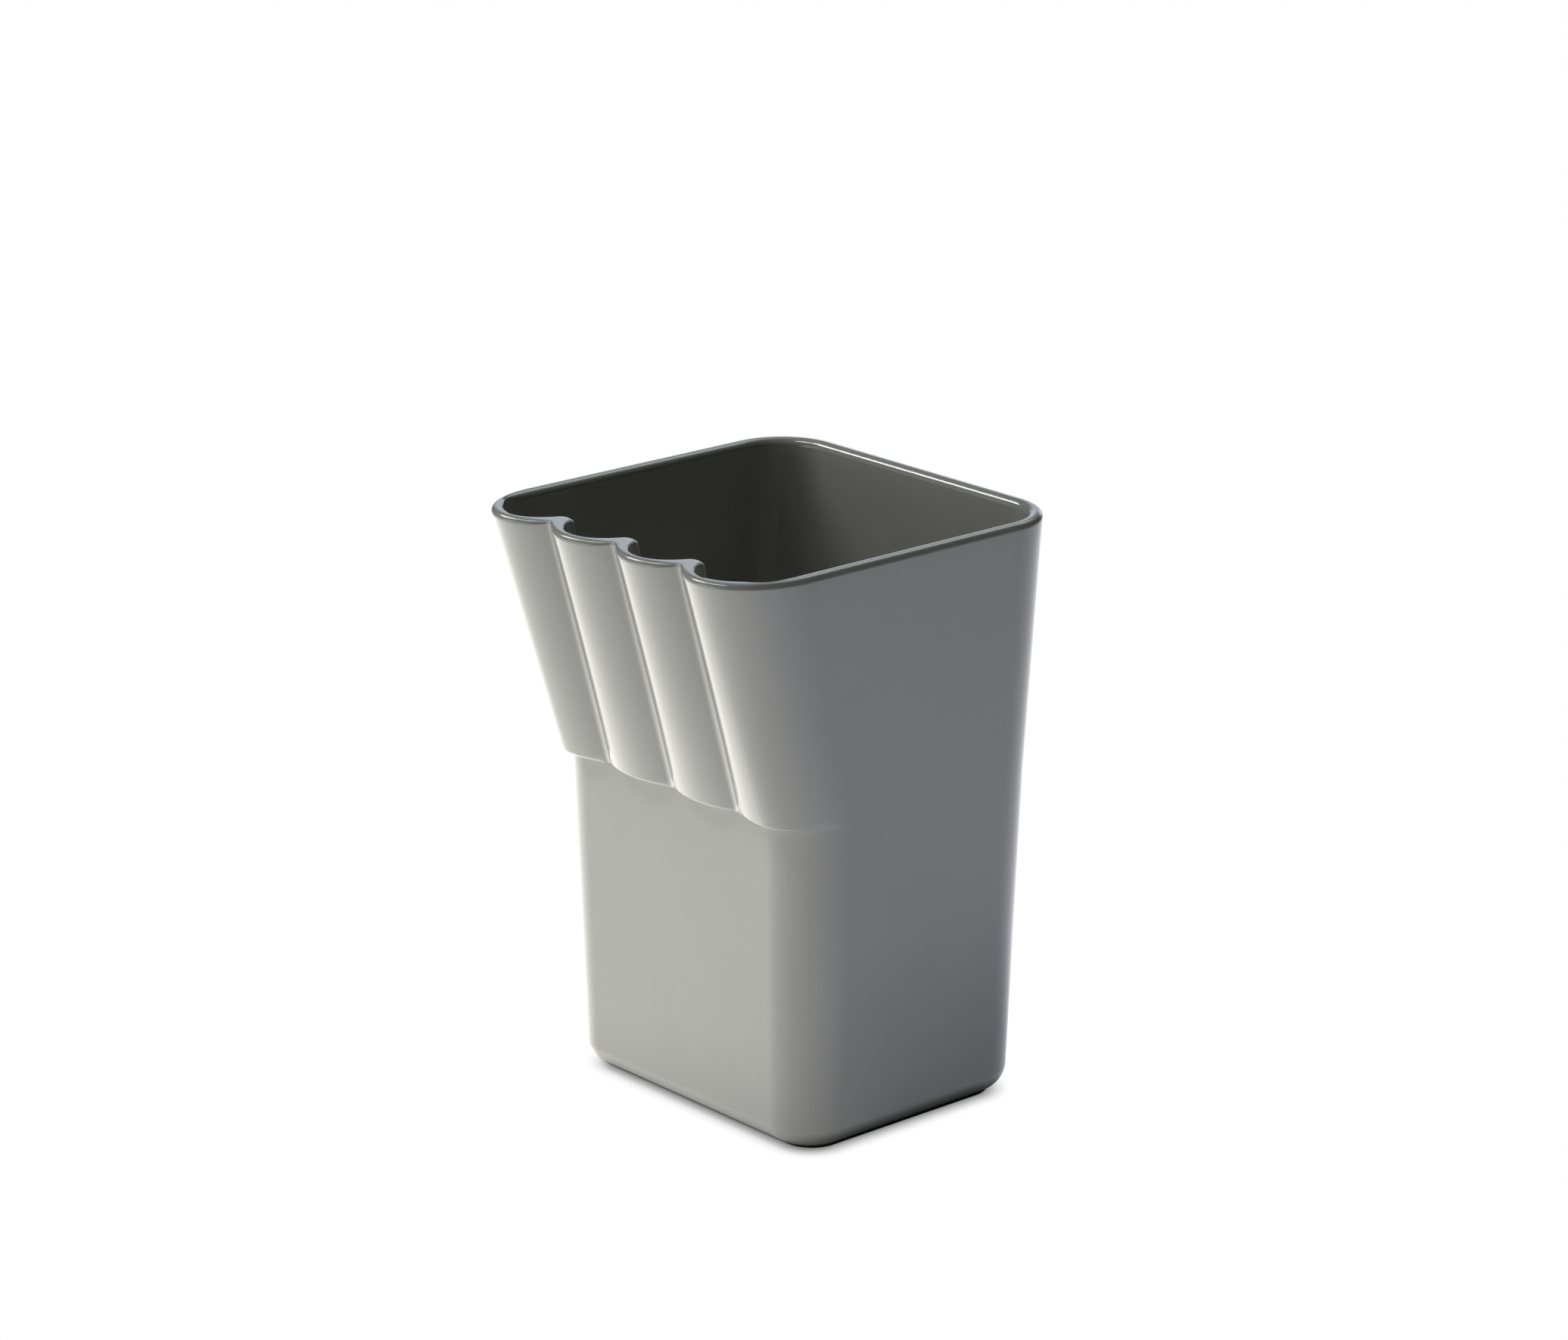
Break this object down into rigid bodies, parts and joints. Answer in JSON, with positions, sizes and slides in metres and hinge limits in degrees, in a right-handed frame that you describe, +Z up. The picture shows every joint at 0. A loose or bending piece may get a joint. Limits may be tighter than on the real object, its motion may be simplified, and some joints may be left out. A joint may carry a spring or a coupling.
{
  "type": "toothbrush tumbler",
  "caption": "Moulded tumbler with a rounded rectangular body, a scalloped front that leans out above a step to hold brushes, and a dark non-slip sole.",
  "frame": {"origin": "on the underside of the sole, in the middle between the side walls and under the middle of the plain body", "axes": "+Z up, -Y towards the front with the lobes, +X to the right when the front is seen from in front"},
  "size_m": [0.0796, 0.0807, 0.115],
  "materials": {
    "warm_grey_plastic": "glossy, even warm grey",
    "dark_rubber": "matte near black"
  },
  "bodies": {
    "root": {"tumbler_body": "warm_grey_plastic", "non_slip_sole": "dark_rubber"}
  },
  "joints": []
}
